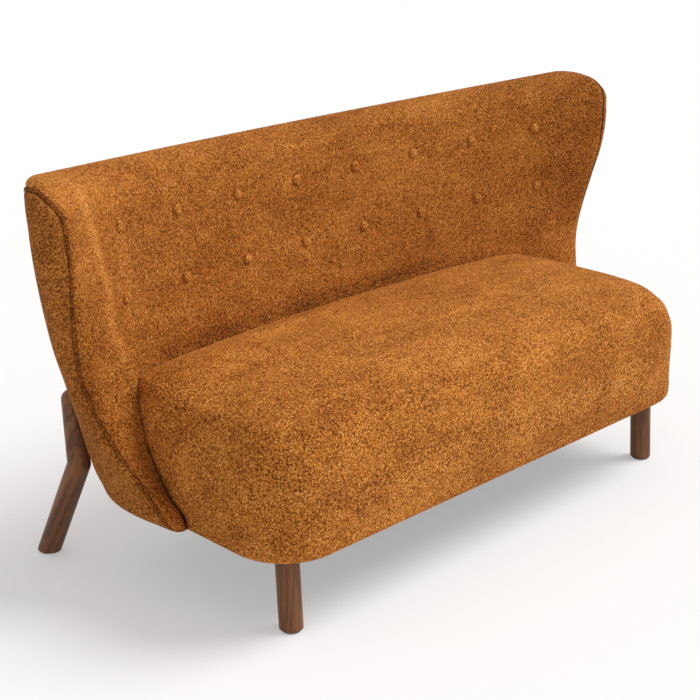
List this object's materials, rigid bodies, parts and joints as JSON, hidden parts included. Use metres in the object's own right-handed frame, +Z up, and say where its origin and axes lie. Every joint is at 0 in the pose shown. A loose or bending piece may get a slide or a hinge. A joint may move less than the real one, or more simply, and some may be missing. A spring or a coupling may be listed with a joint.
{
  "type": "armless loveseat",
  "caption": "Armless upholstered loveseat: crowned bench seat, curved leaning back with flared wings and covered buttons, round wooden legs.",
  "frame": {"origin": "middle of the footprint, on the floor under the feet", "axes": "+X to the right of the viewer who faces the seat, -Y out of the seat's front, +Z up"},
  "size_m": [1.555, 0.6384, 0.7685],
  "materials": {
    "upholstery": "short looped pile, rust orange",
    "outer_upholstery": "short looped pile, slightly browner, seen against the nap",
    "button_cloth": "covered in the same cloth",
    "walnut": "satin, dark walnut",
    "frame_wood": "plain sawn softwood and plywood",
    "webbing": "woven elastic band",
    "felt": "needled felt sheet",
    "cord": "twisted tie cord",
    "dust_cloth": "thin non-woven cloth",
    "steel": "zinc plated",
    "glide": "smooth"
  },
  "bodies": {
    "root": {"back_bolts": "steel", "back_dust_cover": "dust_cloth", "back_lower_rail": "frame_wood", "back_post_inner_left": "frame_wood", "back_post_inner_right": "frame_wood", "back_post_outer_left": "frame_wood", "back_post_outer_right": "frame_wood", "back_rib_bottom": "frame_wood", "back_rib_middle": "frame_wood", "back_rib_top": "frame_wood", "back_top_roll": "upholstery", "bolt_spacers": "steel", "button_ties": "cord", "foot_glide_front_left": "glide", "foot_glide_front_right": "glide", "foot_glide_rear_left": "glide", "foot_glide_rear_right": "glide", "front_leg_left": "walnut", "front_leg_right": "walnut", "hanger_bolts": "steel", "inside_back_pad": "upholstery", "leg_plate_left": "steel", "leg_plate_right": "steel", "outside_back_panel": "outer_upholstery", "plate_screws": "steel", "rear_leg_block_left": "frame_wood", "rear_leg_block_right": "frame_wood", "rear_leg_dowels": "frame_wood", "rear_leg_left": "walnut", "rear_leg_right": "walnut", "seat_center_rail": "frame_wood", "seat_corner_block_left": "frame_wood", "seat_corner_block_right": "frame_wood", "seat_cushion": "upholstery", "seat_diagonal_rail_left": "frame_wood", "seat_diagonal_rail_right": "frame_wood", "seat_dust_cover": "dust_cloth", "seat_felt": "felt", "seat_front_rail": "frame_wood", "seat_rear_rail": "frame_wood", "seat_side_rail_left": "frame_wood", "seat_side_rail_right": "frame_wood", "seat_webbing_cross": "webbing", "seat_webbing_long": "webbing", "tie_toggles": "steel", "tuft_buttons": "button_cloth"}
  },
  "joints": []
}
